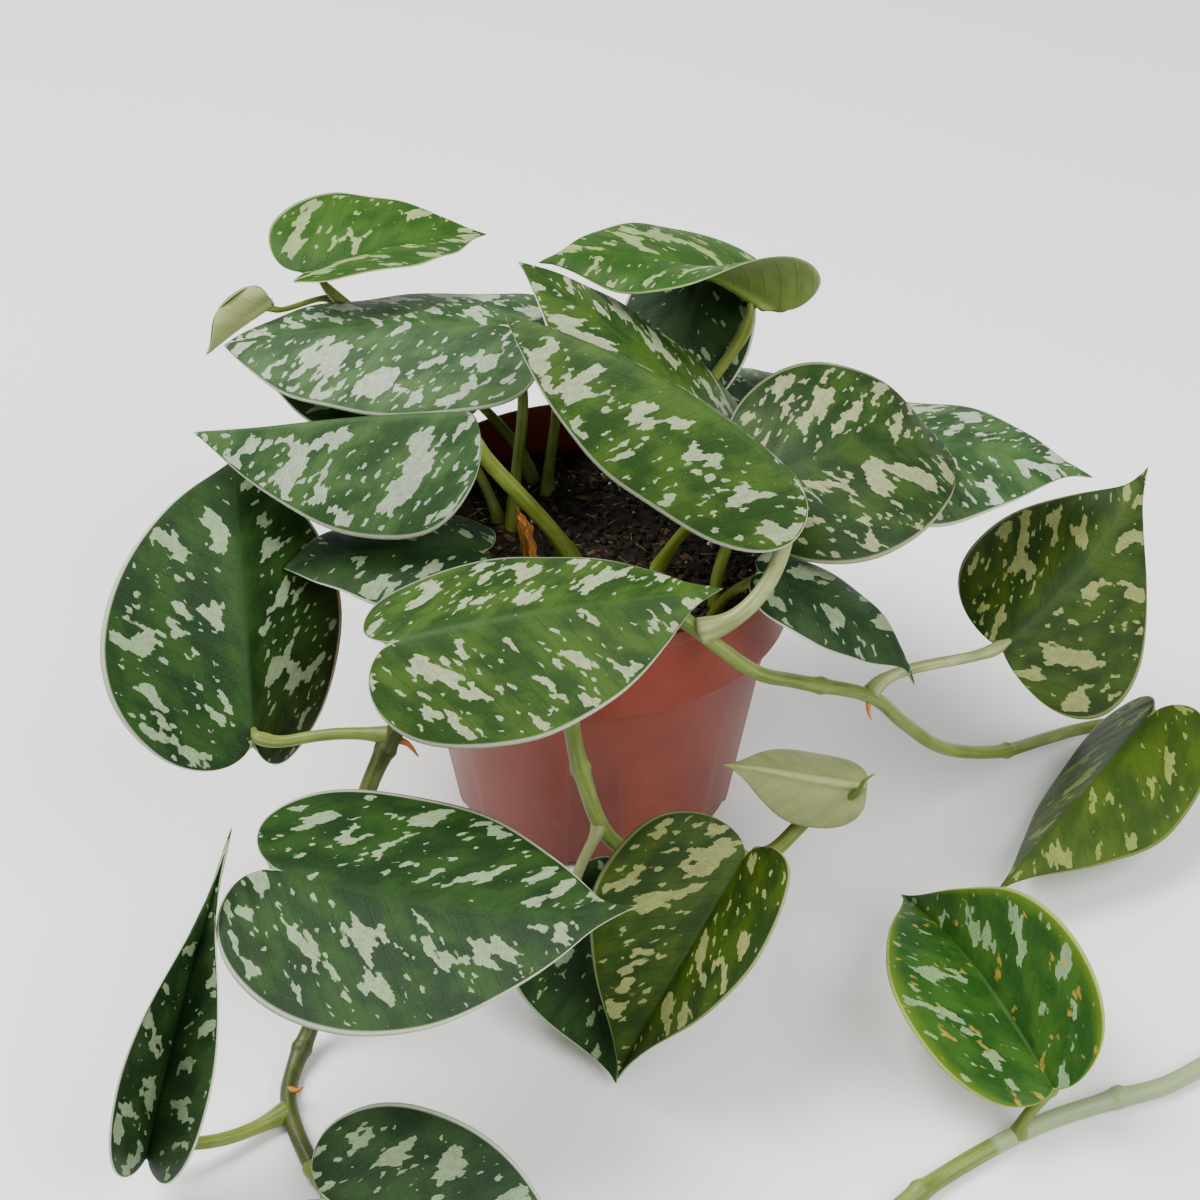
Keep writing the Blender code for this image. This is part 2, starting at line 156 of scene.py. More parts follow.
def noise(tree, where, scale, detail, roughness=0.5, flat=False):
    """A noise value at a place: on a UV map if flat, or in space."""
    return put(tree, "TexNoise", {"Vector": where, "Scale": scale, "Detail": detail,
                                  "Roughness": roughness},
               noise_dimensions="2D" if flat else "3D").outputs[0]


def scaled(tree, vector, factors):
    """A vector multiplied axis by axis."""
    return put(tree, "VectorMath", {0: vector, 1: factors}, operation="MULTIPLY").outputs[0]


def blend(tree, share, first, second):
    """Colour first where share is 0 and second where it is 1."""
    made = put(tree, "Mix", {0: share}, data_type="RGBA", blend_type="MIX")
    for socket, value in ((made.inputs[6], first), (made.inputs[7], second)):
        if isinstance(value, bpy.types.NodeSocket):
            tree.links.new(value, socket)
        else:
            socket.default_value = (*value, 1.0)
    return made.outputs[2]


def glaze(tree, under, mask, strength, over):
    """Lays colour over on colour under where the mask is 1, at the given strength."""
    return blend(tree, times(tree, mask, strength), under, over)


def start_finish(name, roughness, specular=0.5, sheen=0.0):
    """A new material with its Principled shader and the constants that never vary on it."""
    made = bpy.data.materials.new(name)
    made.use_nodes = True
    shader = made.node_tree.nodes["Principled BSDF"]
    shader.inputs["Roughness"].default_value = roughness
    shader.inputs["Specular IOR Level"].default_value = specular
    shader.inputs["Sheen Weight"].default_value = sheen
    return made, made.node_tree, shader


def relief(tree, shader, height, strength, distance):
    """Feeds a height into the shader's normal through a Bump node (distance in metres)."""
    made = put(tree, "Bump", {"Height": height, "Strength": strength, "Distance": distance})
    tree.links.new(made.outputs["Normal"], shader.inputs["Normal"])


def blade_maps(tree):
    """A leaf's vein map, and the distance from the midrib (0) to the margin (1)."""
    veins = put(tree, "UVMap", uv_map="veins").outputs[0]
    place = put(tree, "SeparateXYZ", {0: put(tree, "UVMap", uv_map="place").outputs[0]})
    signed = math_node(tree, "SUBTRACT", times(tree, place.outputs[1], 2.0), 1.0)
    return veins, math_node(tree, "ABSOLUTE", signed)


def side_veins(tree, veins, width):
    """1 on the side veins, which are 5.5 mm apart, and 0 between them."""
    axis = put(tree, "SeparateXYZ", {0: veins}).outputs[0]
    return ramp_down(tree, math_node(tree, "PINGPONG", axis, 0.275), 0.0, width)


print("helpers ready")

# %% [markdown]
# ## The plant's tables
# A botanist describes a leaf by where it is joined, which way its midrib points and how its blade
# bends. The same numbers drive the frame's solids, so they are repeated here: the base point, the
# heading and pitch of the midrib, the roll about it, length and width, how much the midrib droops,
# how far the two halves fold up from it, how that fold changes towards the tip, how the halves
# curl, the twist, and how far the two lobes reach back.
#
# Programs made 19 of the 27 leaf rows. A search program moved 17 leaves, and stalks with them, until
# no solids crossed, and a least-squares fit set six, four of which are among the 17. Some were
# changed again later. So the rows aren't round design values.

# %% Tables of leaves, stalks and vines
Blade = namedtuple(
    "Blade", "name base heading pitch roll length width droop fold unfold cup twist lobe")
Stalk = namedtuple("Stalk", "name root rise arrive radius")

BLADES = [Blade(*row) for row in [
    ("top_left", (-82, 54.5, 153), 26, 12, 0, 53, 54, 20, 27, -21, -10, 0, 0.28),
    ("young_rolled", (-96, 45, 147), 205, -25, 20, 24, 20, 10, 40, 0, 120, 0, 0.10),
    ("silver_left", (-27, 26, 151), 174, -1, -8, 83, 62, 14, -12, 0, -16, 0, 0.26),
    ("shaded_left", (-44, 36, 114), 168, 24, -5, 62, 52, 30, -5, 0, -10, 0, 0.20),
    ("folded_left", (-35, -13, 147), 187, 3, 5, 74, 68, 10, -58, 0, -8, 0, 0.10),
    ("far_left", (-92.5, -72.5, 80.5), 98, 49, 22, 81, 80, 25, -40, 32, 0, 0, 0.17),
    ("under_left", (-33.5, -24, 107.5), 186, 13, 1, 54, 46, 30, 0, 0, -20, 0, 0.20),
    ("centre_big", (53, -45, 147), 154, 36, -8, 94, 62, 46, -40, 0, -20, 0, 0.20),
    ("centre_back", (42, 1, 123), 157, 45, 1, 84, 62, 20, -10, 0, -15, 0, 0.14),
    ("top_right", (48.5, 45.5, 147), 173, 37, 38, 70, 58, 50, 40, -70, -10, -50, 0.26),
    ("back_shaded", (32, 66.5, 142), 250, -35, -1, 58, 42, 20, 0, 0, -10, 0, 0.20),
    ("small_inner", (46, 25, 108), 91, 21, -3, 36, 30, 30, 0, 0, -20, 0, 0.14),
    ("right_round", (46.5, -14, 124), 4, 30, 28, 73, 66, 88, 0, 0, -10, 0, 0.12),
    ("right_outer", (71.5, 26, 113), -10, 5, 6, 79, 60, 20, -8, 0, -15, 0, 0.20),
    ("right_under", (47, -43, 114), -12, -13, 4, 58, 32, 44, -5, 0, -15, 0, 0.10),
    ("right_heart", (121, -19, 68.5), 27, 26, 28, 70, 77, 11, -28, 1, -5, 0, 0.06),
    ("far_right", (170.5, -10.5, 33), 232, -5, 11, 82, 54, 8, -28, -16, -10, 0, 0.26),
    ("low_right", (121.5, -141.5, 18.5), 113, 15, -24, 86, 60, 40, 32, 6, 0, 0, 0.08),
    ("front_centre", (-50, -78, 119), 4, 14, 19, 86, 66, 25, -24, 0, -8, 0, 0.20),
    ("front_left", (-79, -121.5, 78.5), -14, -9, 5, 94, 79, -22, -6, 0, -6, 0, 0.19),
    ("left_edge", (-115, -160, 15.5), 63, 60, 31, 90, 46, -14, 60, 0, 0, 0, 0.10),
    ("front_low", (-66, -174, 12), -30, 5, 22, 76, 62, 15, 10, 0, 0, 0, 0.24),
    ("front_narrow", (-5, -81, 31), -77, -28, 14, 56, 46, 5, 0, 0, 0, 0, 0.20),
    ("front_yellow", (41, -91, 52), 231, -33, 7, 69, 63, 14, 28, 5, -4, 0, 0.15),
    ("front_young", (76, -62, 52), 178, 10, 150, 40, 30, 10, 20, 0, 40, 0, 0.10),
    ("back_left", (-12, 58, 122), 125, 8, 0, 56, 44, 40, -8, 0, -15, 0, 0.20),
    ("back_right", (36.5, 47, 109.5), 42, 11, 0, 72, 56, 80, -8, 0, -15, 0, 0.20),
]]
STALKS = [Stalk(*row) for row in [
    ("top_left", (-18, 38), (-7, 14, 27), (-5, -13, 6), 1.7),
    ("young_rolled", (-79, 62, 138), (-4, -2, 4), (-4, -4, 4), 1.0),
    ("silver_left", (-24, 12), (-1, 3, 26), (-13, 2, 16), 1.9),
    ("shaded_left", (-28, 16), (-3, 2, 14), (-6, 2, 10), 1.8),
    ("folded_left", (-6, -4), (-4, -4, 18), (-8, 0, 16), 2.6),
    ("far_left", (-54, -76, 84), (-25, 4, 0), (-9, 3, 1), 1.9),
    ("under_left", (-33, -10), (-3, -3, 17), (1, -9, 11), 1.8),
    ("centre_big", (28, -60, 107), (20, 0, 4), (-4, 2, 14), 2.6),
    ("centre_back", (18, -8), (9, -1, 24), (3, 14, 9), 1.9),
    ("top_right", (27, 15), (-6, 19, 38), (4, 1, 22), 2.0),
    ("back_shaded", (17, 42), (0, 19, 29), (-1, -7, 8), 1.8),
    ("small_inner", (46, 13), (3, 5, 12), (6, 2, 6), 1.4),
    ("right_round", (36, -25), (-4, 1, 16), (5, 0, 11), 2.0),
    ("right_outer", (36, 4), (9, -3, 18), (8, -1, 4), 1.8),
    ("right_under", (32, -35), (-1, -1, 8), (7, -7, 6), 1.6),
    ("right_heart", (79, -42, 69), (6, 11, 5), (9, 7, 3), 1.9),
    ("far_right", (174, 21, 3), (-3, -3, 6), (-4, -17, 9), 1.9),
    ("low_right", (114, -145.5, 2.8), (0, 1, 5), (4, 2, 4), 1.9),
    ("front_centre", (-41, -65, 101), (-4, -3, 5), (-2, -6, 7), 2.2),
    ("front_left", (-61, -83, 66), (7, -14, 10), (-13, 0, 13), 2.0),
    ("left_edge", (-82, -137, 3), (-9, -7, 0), (-15, -2, 8), 2.1),
    ("front_low", (-74, -156, 3), (1, -5, 2), (1, -4, 4), 1.9),
    ("front_narrow", (2, -71, 46), (-2, -6, -2), (-2, -5, -5), 1.8),
    ("front_yellow", (48, -65, 28), (-4, -15, 15), (-4, -7, 10), 1.8),
    ("front_young", (64, -62, 45), (5, 0, 3), (5, 0, 3), 1.4),
    ("back_left", (-14, 30), (-1, 4, 12), (-4, 5, 10), 1.8),
    ("back_right", (27, 30), (3, 1, 6), (11, 13, 11), 1.8),
]]
VINES = {
    "left": [
        (-21, -32, 95), (-29, -45, 107), (-36, -56, 108.5), (-43, -67, 99), (-54, -76, 84),
        (-62, -84, 68), (-67, -92, 49), (-72, -101, 26), (-78, -111, 9), (-82, -121, 3.4),
        (-83, -132, 2.8), (-80, -143, 2.8), (-74, -156, 2.8)],
    "front": [
        (-14, -30, 96), (-12, -46, 108), (-9, -60, 109.5), (-7, -67.5, 97), (-6, -66, 80),
        (-3, -67, 62), (4, -72, 43), (18, -72, 32), (36, -68, 28), (50, -65, 28), (59, -62, 36),
        (65, -62, 46)],
    "right": [
        (8, -32, 96), (16, -46, 107), (25, -57, 108.5), (43, -60, 94), (57, -51, 82),
        (79, -42, 69), (91, -37, 54), (105, -30, 38), (125, -16, 24), (143, 2, 13),
        (157, 15, 5.5), (172, 21, 2.8), (188, 17, 2.8), (201, 3, 2.8), (208, -20, 2.8),
        (207, -50, 2.8), (198, -84, 2.8), (181, -111, 2.8), (160, -127, 2.8), (140, -134, 2.8),
        (122, -141, 2.8), (104, -151, 2.8), (84, -165, 2.8), (69, -179, 2.8), (60, -192, 2.8)],
}
# How far the tip swings to the left of the base's heading, in mm, on the blades that are curved.
SWINGS = {
    "far_left": -7.5, "far_right": -6.0, "front_yellow": -3.5,
    "low_right": 10.0, "right_heart": 18.0, "top_left": -5.5,
}
# The soil: its height in the middle, its fall from there to the wall, and its radius.
SOIL_LEVEL, SOIL_FALL, SOIL_RADIUS = 90.0, 3.0, 57.0
print(len(BLADES), "blades,", len(STALKS), "stalks and", len(VINES), "vines")

# %% [markdown]
# ## A leaf blade as a surface
# The blade is a function of two numbers. `share` runs from the notch round to the tip in the same
# steps as the margin, and `across` runs from the left margin (+1) over the midrib (0) to the right
# margin (-1). A side vein slants forward from the midrib, so it is a line on which the distance
# along the midrib, less 0.7 of the distance from it, stays the same. Those true distances in
# millimetres also place the silver splashes, so the splashes aren't squeezed towards the tip.
#
# A subdivision surface from a few hand-placed points would be quicker for one leaf. With
# twenty-seven leaves that all bend differently, a formula keeps the veins and the margin right.


# %% Margin and blade surface
def cubic(points, t):
    """The cubic Bezier curve with four control points: the sum of the points weighted by
    (1-t)^3, 3(1-t)^2 t, 3(1-t) t^2 and t^3."""
    a, b, c, d = (np.asarray(p, dtype=float) for p in points)
    t = np.asarray(t)[:, None]
    return (1 - t) ** 3 * a + 3 * (1 - t) ** 2 * t * b + 3 * (1 - t) * t ** 2 * c + t ** 3 * d


def heart_margin(steps, lobe, blunt, drip):
    """Half of the heart's outline as (forward, sideways) shares of length and width: one cubic
    round the lobe to the widest point, one on to the drawn-out tip, or to a rounder one where
    blunt is near 1. The last share drip of the length is drawn out into a narrow point."""
    back = cubic([(0, 0), (-lobe, 0.02), (-lobe, 0.5), (0.30, 0.5)],
                 np.linspace(0, 1, steps // 2 + 1))
    front = cubic([(0.30, 0.5), (0.62 + 0.06 * blunt, 0.5),
                   (0.80 + 0.13 * blunt, 0.06 + 0.20 * blunt), (1, 0)],
                  np.linspace(0, 1, steps - steps // 2 + 1))
    near_tip = np.clip(np.linspace(-5, 1, len(front)), 0, 1)
    front[:, 0] = 0.3 + (front[:, 0] - 0.3) * (1 - drip / 0.7) + drip * near_tip ** 2
    return np.vstack([back, front[1:]])


def blade_turn(blade):
    """Unit vectors of the blade: forward along the midrib, left, and up out of its face."""
    turn = (Matrix.Rotation(math.radians(blade.heading), 3, "Z")
            @ Matrix.Rotation(math.radians(-blade.pitch), 3, "Y")
            @ Matrix.Rotation(math.radians(blade.roll), 3, "X"))
    return [np.array(turn.col[i]) for i in range(3)]


# Small habits of single leaves: sideways bend of the midrib and lift of the tip, in mm, and how
# strongly the margin waves.
HABITS = {
    "far_left": (0, 0, 1.0), "left_edge": (-4, -9, 0.6), "low_right": (0, 0, 0.8),
    "far_right": (0, 0, 0.6), "front_left": (4, 5, 0.8), "front_centre": (3, 2, 0.9),
    "centre_big": (-2, 2, 0.9), "right_heart": (0, 1, 0.8), "folded_left": (0, 2, 0.7),
    "silver_left": (2, 0, 1.3), "front_yellow": (0, -1, 0.8), "right_outer": (2, -2, 1.0),
    "young_rolled": (0, 0, 0.0), "front_young": (0, 3, 0.4), "right_under": (0, -3, 0.6),
    "top_left": (0, 0, 0.8),
}
# How round the end of the blade is, and the share of its length drawn out into a drip tip.
TIPS = {"far_left": (0.9, 0.02), "centre_big": (0.7, 0.0), "silver_left": (0.7, 0.0),
        "folded_left": (0.5, 0.0), "under_left": (0.6, 0.0), "top_left": (0.4, 0.04),
        "right_round": (0.4, 0.0), "centre_back": (0.3, 0.0), "shaded_left": (0.5, 0.0),
        "front_low": (0.5, 0.04), "front_centre": (0.7, 0.07), "front_left": (0.35, 0.06),
        "right_heart": (0.2, 0.05), "left_edge": (0.3, 0.16), "right_under": (0.4, 0.10),
        "right_outer": (0.3, 0.04), "back_right": (0.3, 0.05), "back_left": (0.3, 0.05)}
ROWS, COLUMNS = 84, 48


def blade_surface(blade, seed):
    """The blade's middle sheet and the numbers that its finish needs.

    The outline is laid along an arc that droops steadily. Each half leaves the midrib at the fold
    angle and curls by the cup angle. The margin waves by a slow sine that grows with the square
    of the distance from the midrib, and the skin swells a little between the side veins."""
    ahead, left, above = blade_turn(blade)
    bend, tip_lift, waving = HABITS.get(blade.name, (0, 0, 1.0))
    margin = heart_margin(ROWS, blade.lobe, *TIPS.get(blade.name, (0.0, 0.0)))
    share = np.linspace(0, 1, ROWS + 1)[:, None]
    rib = np.clip((share - 0.28) / 0.72, 0, None)
    across = np.linspace(-1, 1, COLUMNS + 1)[None, :]
    v = np.abs(across)
    along = (rib * (1 - v) + margin[:, :1] * v) * blade.length
    side = margin[:, 1:] * across * blade.width
    vein_run = 1.22 * np.abs(side)

    droop = math.radians(blade.droop) / blade.length
    turned = np.clip(along, 0, None) * droop
    forward = np.sin(turned) / droop + np.clip(along, None, 0)
    down = (1 - np.cos(turned)) / droop

    curl = math.radians(blade.cup) * np.abs(side) / (0.5 * blade.width) + 1e-6
    fold = np.radians(blade.fold + blade.unfold * along / blade.length)
    reach = np.sign(side) * np.abs(side) * (np.sin(fold + curl) - np.sin(fold)) / curl
    lift = np.abs(side) * (np.cos(fold) - np.cos(fold + curl)) / curl

    rng = np.random.default_rng(seed)
    phase = rng.uniform(0, math.tau, 4)
    left_wave = np.sin(share * 13 + phase[0]) + 0.5 * np.sin(share * 29 + phase[1])
    right_wave = np.sin(share * 11 + phase[2]) + 0.5 * np.sin(share * 31 + phase[3])
    wave = np.where(across > 0, left_wave, right_wave)
    lift = lift + waving * 0.9 * wave * v ** 2 * np.sin(math.pi * share) ** 0.7
    vein_at = along - 0.7 * np.abs(side)
    ridge = np.cos(math.tau * vein_at / 6.5)
    lift = lift + 0.16 * ridge * v * (1 - v) * 4 * (1 - share) ** 0.5
    lift = lift - 0.45 * np.exp(-(side / 1.1) ** 2) * (1 - 0.7 * rib) * (v < 1)

    twist = math.radians(blade.twist) * along / blade.length
    shift = reach * np.cos(twist) - lift * np.sin(twist)
    lift = reach * np.sin(twist) + lift * np.cos(twist)
    swing = SWINGS.get(blade.name, 0.0) + bend
    shift = shift + swing * np.clip(along / blade.length, 0, 1) ** 2
    lift = lift + tip_lift * np.clip((along / blade.length - 0.65) / 0.35, 0, 1) ** 2

    up = lift * np.cos(turned) - down
    forward = forward + lift * np.sin(turned)
    sheet = (np.array(blade.base) + forward[..., None] * ahead + shift[..., None] * left
             + up[..., None] * above) * MM
    return sheet, share + 0 * v, across + 0 * share, vein_at, vein_run, side


# %% [markdown]
# ## From sheet to closed blade
# A real blade is under a millimetre thick in the middle and thins to nothing at its margin, and
# the midrib stands out of its underside like a cord. So the sheet is pushed out along its normals
# on both sides by a thickness that fades at the margin, the lower skin also by the midrib's
# profile, and the two skins share their edge. Solidify would give a square edge all round.


# %% Closed blade mesh
def sheet_normals(sheet):
    """Unit normals on a grid: the cross product of its two directions of travel, with the rows
    that shrink to a point borrowing from their neighbours."""
    by_row = np.gradient(sheet, axis=0)
    by_column = np.gradient(sheet, axis=1)
    normal = np.cross(by_row, by_column)
    size = np.linalg.norm(normal, axis=2, keepdims=True)
    weak = size[..., 0] < 1e-12
    normal = np.where(weak[..., None], 0, normal / np.maximum(size, 1e-12))
    middle = normal[:, COLUMNS // 2 - 4:COLUMNS // 2 + 5].sum(axis=1, keepdims=True)
    normal = np.where(weak[..., None], middle, normal)
    return normal / np.maximum(np.linalg.norm(normal, axis=2, keepdims=True), 1e-12)


def smooth_rows(values, rounds=2):
    """Averages each row of a grid with its neighbours, a few times over."""
    for _ in range(rounds):
        values = np.concatenate([values[:1], (values[:-2] + 2 * values[1:-1] + values[2:]) / 4,
                                 values[-1:]])
    return values


def grid_faces(rows, columns, first=0, flip=False):
    """Quads between neighbouring rows and columns of a grid of rows by columns points."""
    index = first + np.arange(rows * columns).reshape(rows, columns)
    quads = np.stack([index[:-1, :-1], index[1:, :-1], index[1:, 1:], index[:-1, 1:]], -1)
    quads = quads.reshape(-1, 4)
    return quads[:, ::-1] if flip else quads


def piece_from(name, points, faces, finishes, slots=None, maps=None, smooth=True):
    """A mesh object from arrays: points, faces, the finish of each face and its UV maps, with
    coincident points merged and the normals turned outwards."""
    mesh = bpy.data.meshes.new(name)
    mesh.from_pydata(points.tolist(), [], faces.tolist())
    corner = np.empty(len(mesh.loops), dtype=np.int32)
    mesh.loops.foreach_get("vertex_index", corner)
    for label, values in (maps or {}).items():
        layer = mesh.uv_layers.new(name=label)
        layer.data.foreach_set("uv", values[corner].astype(np.float32).ravel())
    for finish in finishes:
        mesh.materials.append(finish)
    if slots is not None:
        mesh.polygons.foreach_set("material_index", slots.astype(np.int32))
    mesh.polygons.foreach_set("use_smooth", np.full(len(mesh.polygons), smooth))
    shape = bmesh.new()
    shape.from_mesh(mesh)
    bmesh.ops.remove_doubles(shape, verts=shape.verts, dist=2e-6)
    bmesh.ops.recalc_face_normals(shape, faces=shape.faces)
    shape.to_mesh(mesh)
    shape.free()
    mesh.update()
    made = bpy.data.objects.new(name, mesh)
    bpy.context.scene.collection.objects.link(made)
    return made


def finished_blade(blade, seed, top, under):
    """A closed blade: upper and lower skin either side of the sheet, joined at the margin."""
    sheet, share, across, vein_at, vein_run, side = blade_surface(blade, seed)
    normal = smooth_rows(sheet_normals(sheet))
    above = blade_turn(blade)[2]
    middle = normal[ROWS // 2, COLUMNS // 2]
    normal = normal * (1.0 if np.dot(middle, above) > 0 else -1.0)
    inner = np.ones_like(share)
    inner[0] = inner[-1] = 0.0
    half = 0.38 * MM * inner * np.sqrt(np.clip(1 - np.abs(across) ** 8, 0, 1))
    cord = 1.25 * MM * inner * np.exp(-side ** 2) * (1 - share) ** 0.7
    cord = cord * (np.abs(across) < 1)
    upper = sheet + normal * half[..., None]
    lower = sheet - normal * (half + cord)[..., None]
    points = np.vstack([upper.reshape(-1, 3), lower.reshape(-1, 3)])
    count = share.size
    faces = np.vstack([grid_faces(ROWS + 1, COLUMNS + 1),
                       grid_faces(ROWS + 1, COLUMNS + 1, count, flip=True)])
    slots = np.repeat([0, 1], len(faces) // 2)
    step = 3.0 * seed
    veins = np.stack([vein_at / 10 + step, np.sign(across) * vein_run / 10 + step], -1)
    place = np.stack([share, across * 0.5 + 0.5], -1)
    maps = {"veins": np.tile(veins.reshape(-1, 2), (2, 1)),
            "place": np.tile(place.reshape(-1, 2), (2, 1))}
    return piece_from("leaf_" + blade.name, points, faces, [top, under], slots, maps)


print("blade grid:", ROWS, "by", COLUMNS, "on each side")

# %% [markdown]
# ## Leaf finishes
# The upper skin is dark green with a satin grain. The splashes are patches of small cells, each
# cell either silver or green, so their outlines are jagged and they stretch along the side veins.
# That is what this tree of nodes does: a Voronoi texture cuts the skin into cells that are longer
# along the veins, a noise read at each cell's middle decides whether it is silver, and the
# thresholds rise beside the midrib and at the margin, where real leaves stay green. A thin pale
# line runs round the margin. Young leaves are yellower, and their marks are cream.


# %% Upper skin of a leaf
def leaf_skin(name, deep, light, mark, cover, roughness, edge=(0.56, 0.60, 0.44), blush=None):
    """The upper skin: two greens, marks of one colour that cover about the share cover, and a
    margin line. blush tints a band inside the margin and adds a few scorched spots."""
    made, tree, shader = start_finish(name, roughness, 0.14, 0.0)
    veins, from_rib = blade_maps(tree)

    # Cells about 1.1 mm across the veins and 1.7 mm along them, slightly bent by a noise.
    wobble = put(tree, "TexNoise", {"Vector": veins, "Scale": 3.0, "Detail": 2.0},
                 noise_dimensions="2D").outputs["Color"]
    bent = put(tree, "VectorMath", {0: wobble, 1: (0.16, 0.16, 0.0), 2: veins},
               operation="MULTIPLY_ADD").outputs[0]
    cells = scaled(tree, bent, (9.0, 5.8, 0.0))
    cell = put(tree, "TexVoronoi", {"Vector": cells, "Scale": 1.0}, voronoi_dimensions="2D")
    near = put(tree, "Mix", {0: 0.62}, data_type="VECTOR")
    tree.links.new(cells, near.inputs[4])
    tree.links.new(cell.outputs["Position"], near.inputs[5])
    broad = noise(tree, near.outputs[1], 0.125, 2.5, 0.55, flat=True)
    small = noise(tree, near.outputs[1], 0.50, 1.5, flat=True)
    held = math_node(tree, "MULTIPLY_ADD", ramp_down(tree, from_rib, 0.03, 0.22), 0.14,
                     times(tree, ramp(tree, from_rib, 0.90, 0.99), 0.2))
    level = 0.66 - 0.20 * cover
    patch = ramp(tree, math_node(tree, "SUBTRACT", broad, held), level, level + 0.012)
    fleck = ramp(tree, math_node(tree, "SUBTRACT", small, held), level + 0.11, level + 0.125)
    silver = math_node(tree, "MAXIMUM", patch, fleck)

    # Greens: broad clouds, darker side veins, a paler midrib.
    cloud = noise(tree, veins, 0.8, 3.0, flat=True)
    green = blend(tree, ramp(tree, cloud, 0.35, 0.68), deep, light)
    vein_line = side_veins(tree, veins, 0.035)
    green = glaze(tree, green, vein_line, 0.35, tuple(0.55 * c for c in deep))
    green = glaze(tree, green, ramp_down(tree, from_rib, 0.010, 0.045), 0.55,
                  tuple(0.6 * c + 0.4 * d for c, d in zip(light, deep)))
    if blush is not None:
        green = glaze(tree, green, ramp(tree, from_rib, 0.80, 1.0), 0.6, blush)

    # Marks: cell-to-cell brightness and a fine sparkle.
    grain = noise(tree, veins, 26.0, 2.0, flat=True)
    by_cell = put(tree, "SeparateColor", {0: cell.outputs["Color"]}).outputs[0]
    shade = math_node(tree, "MULTIPLY_ADD", ramp(tree, grain, 0.30, 0.70), 0.65,
                      times(tree, by_cell, 0.35))
    marks = blend(tree, shade, tuple(0.58 * c for c in mark), tuple(1.22 * c for c in mark))
    colour = glaze(tree, green, silver, 0.93, marks)
    speck = ramp(tree, noise(tree, veins, 38.0, 1.0, flat=True), 0.66, 0.74)
    colour = glaze(tree, colour, speck, 0.16, mark)
    colour = glaze(tree, colour, ramp(tree, from_rib, 0.955, 0.985), 0.9, edge)
    if blush is not None:
        scorch = noise(tree, veins, 1.9, 3.0, flat=True)
        colour = glaze(tree, colour, ramp(tree, scorch, 0.67, 0.73), 0.7, (0.30, 0.20, 0.03))
    tree.links.new(colour, shader.inputs["Base Color"])
    rough = math_node(tree, "MULTIPLY_ADD", silver, 0.08, math_node(
        tree, "MULTIPLY_ADD", grain, 0.12, roughness - 0.06))
    tree.links.new(rough, shader.inputs["Roughness"])
    height = math_node(tree, "MULTIPLY_ADD", silver, 0.10, math_node(
        tree, "MULTIPLY_ADD", vein_line, -0.35, grain))
    relief(tree, shader, height, 0.45, 0.00025)
    return made


# Deep and light green, mark, share covered, roughness, and where they differ edge and blush.
SKIN_COLOURS = {
    "mature": ((0.005, 0.022, 0.003), (0.014, 0.044, 0.005), (0.22, 0.29, 0.16), 0.38, 0.48),
    "silvery": ((0.016, 0.046, 0.011), (0.042, 0.092, 0.024), (0.33, 0.38, 0.27), 0.56, 0.46),
    "lush": ((0.013, 0.040, 0.004), (0.036, 0.080, 0.008), (0.30, 0.35, 0.20), 0.44, 0.46),
    # shaded is painted shade: a copy of the mature skin with bluer greens and dimmer marks, for
    # leaves that lie in shadow.
    "shaded": ((0.006, 0.022, 0.005), (0.016, 0.042, 0.009), (0.20, 0.26, 0.14), 0.34, 0.48),
    "fresh": ((0.014, 0.052, 0.003), (0.030, 0.080, 0.006),
              (0.24, 0.31, 0.12), 0.38, 0.44, (0.30, 0.38, 0.14)),
    "golden": ((0.018, 0.044, 0.001), (0.040, 0.075, 0.002),
               (0.19, 0.23, 0.05), 0.28, 0.42, (0.19, 0.25, 0.05)),
    "olive": ((0.009, 0.027, 0.001), (0.026, 0.054, 0.002),
              (0.22, 0.24, 0.08), 0.40, 0.46, (0.25, 0.28, 0.11)),
    "cream": ((0.008, 0.026, 0.004), (0.024, 0.054, 0.007),
              (0.26, 0.28, 0.14), 0.50, 0.46, (0.34, 0.36, 0.20)),
    "bluish": ((0.010, 0.046, 0.004), (0.026, 0.076, 0.007),
               (0.17, 0.27, 0.12), 0.26, 0.42, (0.30, 0.36, 0.08), (0.10, 0.17, 0.006)),
}
SKINS = {name: leaf_skin(f"leaf_{name}_skin", *row) for name, row in SKIN_COLOURS.items()}
print("upper skins:", ", ".join(SKINS))

# %% [markdown]
# The underside has no silver. It is a paler, duller green with the veins showing darker, and it
# is nearly white-green on leaves that have just opened.


# %% Underside of a leaf
def leaf_underside(name, green, vein, roughness=0.55):
    """The lower skin: one green with cloudy variation, darker side veins and a pale midrib."""
    made, tree, shader = start_finish(name, roughness, 0.4, 0.1)
    veins, from_rib = blade_maps(tree)
    cloud = noise(tree, veins, 1.4, 4.0, flat=True)
    colour = blend(tree, cloud, tuple(0.7 * c for c in green), tuple(1.3 * c for c in green))
    vein_line = side_veins(tree, veins, 0.05)
    colour = glaze(tree, colour, vein_line, 0.4, vein)
    colour = glaze(tree, colour, ramp_down(tree, from_rib, 0.03, 0.07), 0.7,
                   tuple(min(1.5 * c, 0.8) for c in green))
    tree.links.new(colour, shader.inputs["Base Color"])
    grain = noise(tree, veins, 22.0, 2.0, flat=True)
    relief(tree, shader, math_node(tree, "MULTIPLY_ADD", vein_line, 0.6, grain), 0.4, 0.0003)
    return made


UNDERSIDES = {
    "plain": leaf_underside("leaf_underside", (0.12, 0.19, 0.06), (0.08, 0.14, 0.04)),
    "yellow": leaf_underside("leaf_underside_yellow", (0.13, 0.19, 0.025), (0.09, 0.14, 0.02)),
    "pale": leaf_underside("leaf_underside_pale", (0.20, 0.23, 0.075), (0.15, 0.18, 0.05)),
}
print("undersides:", ", ".join(UNDERSIDES))
